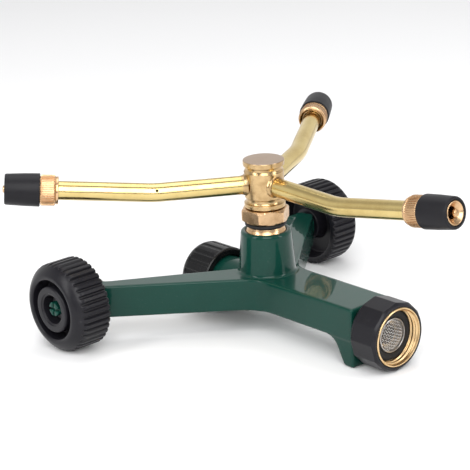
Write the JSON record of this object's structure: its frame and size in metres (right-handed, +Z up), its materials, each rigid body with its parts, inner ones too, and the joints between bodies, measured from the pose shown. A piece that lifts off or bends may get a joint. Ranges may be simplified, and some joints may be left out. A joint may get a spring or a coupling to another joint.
{
  "type": "rotary sprinkler",
  "caption": "Rotary lawn sprinkler: brass rotor with bent arms and twist nozzles on a cast sled base with ribbed wheels, a front foot, a swivel hose coupling and a capped outlet.",
  "frame": {"origin": "middle of the bounding box's base, on the ground that the wheels and the foot stand on", "axes": "+Z up along the rotor's axis, -Y out of the hose coupling, X along the wheels' axle line"},
  "size_m": [0.2222, 0.2104, 0.0958],
  "materials": {
    "green_paint": "gloss",
    "black_plastic": "satin",
    "turned_brass": "satin",
    "tube_brass": "polished",
    "rubber": "matte",
    "stainless": "woven",
    "spring_steel": "satin",
    "white_acetal": "satin"
  },
  "bodies": {
    "base": {"base_casting": "green_paint", "left_push_nut": "spring_steel", "right_push_nut": "spring_steel", "swivel_tail": "turned_brass", "column_insert": "turned_brass", "stem": "turned_brass", "bearing_washer": "rubber", "thrust_washer": "white_acetal"},
    "left_wheel_body": {"left_wheel": "black_plastic"},
    "right_wheel_body": {"right_wheel": "black_plastic"},
    "hose_swivel": {"coupling_insert": "turned_brass", "coupling_grip": "black_plastic", "hose_washer": "rubber", "filter_screen": "stainless"},
    "outlet_seal": {"outlet_washer": "rubber"},
    "outlet_cap_body": {"outlet_cap": "black_plastic"},
    "rotor": {"rotor_head": "turned_brass", "gland_nut": "turned_brass", "left_arm_tube": "tube_brass", "left_nozzle_seat": "turned_brass", "right_arm_tube": "tube_brass", "right_nozzle_seat": "turned_brass", "front_arm_tube": "tube_brass", "front_nozzle_seat": "turned_brass"},
    "left_nozzle_seal": {"left_nozzle_o_ring": "rubber"},
    "left_nozzle": {"left_nozzle_barrel": "turned_brass", "left_nozzle_sleeve": "rubber"},
    "right_nozzle_seal": {"right_nozzle_o_ring": "rubber"},
    "right_nozzle": {"right_nozzle_barrel": "turned_brass", "right_nozzle_sleeve": "rubber"},
    "front_nozzle_seal": {"front_nozzle_o_ring": "rubber"},
    "front_nozzle": {"front_nozzle_barrel": "turned_brass", "front_nozzle_sleeve": "rubber"}
  },
  "joints": [
    {"name": "rotor_spin", "type": "hinge", "parent": "base", "child": "rotor", "pos_m": [-0.00128, 0.02461, 0.07635], "axis": [0, 0, 1], "continuous": true},
    {"name": "left_wheel_spin", "type": "hinge", "parent": "base", "child": "left_wheel_body", "pos_m": [-0.07958, 0.07771, 0.0228], "axis": [1, 0, 0], "continuous": true},
    {"name": "right_wheel_spin", "type": "hinge", "parent": "base", "child": "right_wheel_body", "pos_m": [0.07702, 0.07771, 0.0228], "axis": [1, 0, 0], "continuous": true},
    {"name": "hose_swivel_spin", "type": "hinge", "parent": "base", "child": "hose_swivel", "pos_m": [-0.00128, -0.04839, 0.0175], "axis": [0, -1, 0], "continuous": true},
    {"name": "outlet_cap_travel", "type": "slide", "parent": "base", "child": "outlet_seal", "axis": [0, 1, 0], "range_m": [0, 0.0089]},
    {"name": "outlet_cap_turn", "type": "hinge", "parent": "outlet_seal", "child": "outlet_cap_body", "pos_m": [-0.00128, 0.05491, 0.0175], "axis": [0, 1, 0], "range_deg": [0, 1440]},
    {"name": "left_nozzle_travel", "type": "slide", "parent": "rotor", "child": "left_nozzle_seal", "axis": [-0.7919, 0.6033, 0.0941], "range_m": [-0.00059, 0.00187]},
    {"name": "left_nozzle_twist", "type": "hinge", "parent": "left_nozzle_seal", "child": "left_nozzle", "pos_m": [-0.08566, 0.08353, 0.08083], "axis": [-0.7919, 0.6033, 0.0941], "range_deg": [-170, 540]},
    {"name": "right_nozzle_travel", "type": "slide", "parent": "rotor", "child": "right_nozzle_seal", "axis": [0.7979, 0.5969, 0.0837], "range_m": [-0.00059, 0.00187]},
    {"name": "right_nozzle_twist", "type": "hinge", "parent": "right_nozzle_seal", "child": "right_nozzle", "pos_m": [0.08556, 0.07955, 0.08033], "axis": [0.7979, 0.5969, 0.0837], "range_deg": [-170, 540]},
    {"name": "front_nozzle_travel", "type": "slide", "parent": "rotor", "child": "front_nozzle_seal", "axis": [0.0396, -0.9861, 0.1616], "range_m": [-0.00059, 0.00187]},
    {"name": "front_nozzle_twist", "type": "hinge", "parent": "front_nozzle_seal", "child": "front_nozzle", "pos_m": [-0.00299, -0.07781, 0.08404], "axis": [0.0396, -0.9861, 0.1616], "range_deg": [-170, 540]}
  ],
  "couplings": [
    {"joint": "outlet_cap_travel", "follows": "outlet_cap_turn", "m_per_rad": 0.00035173},
    {"joint": "left_nozzle_twist", "follows": "left_nozzle_travel", "rad_per_m": 5026.5},
    {"joint": "right_nozzle_twist", "follows": "right_nozzle_travel", "rad_per_m": 5026.5},
    {"joint": "front_nozzle_twist", "follows": "front_nozzle_travel", "rad_per_m": 5026.5}
  ]
}
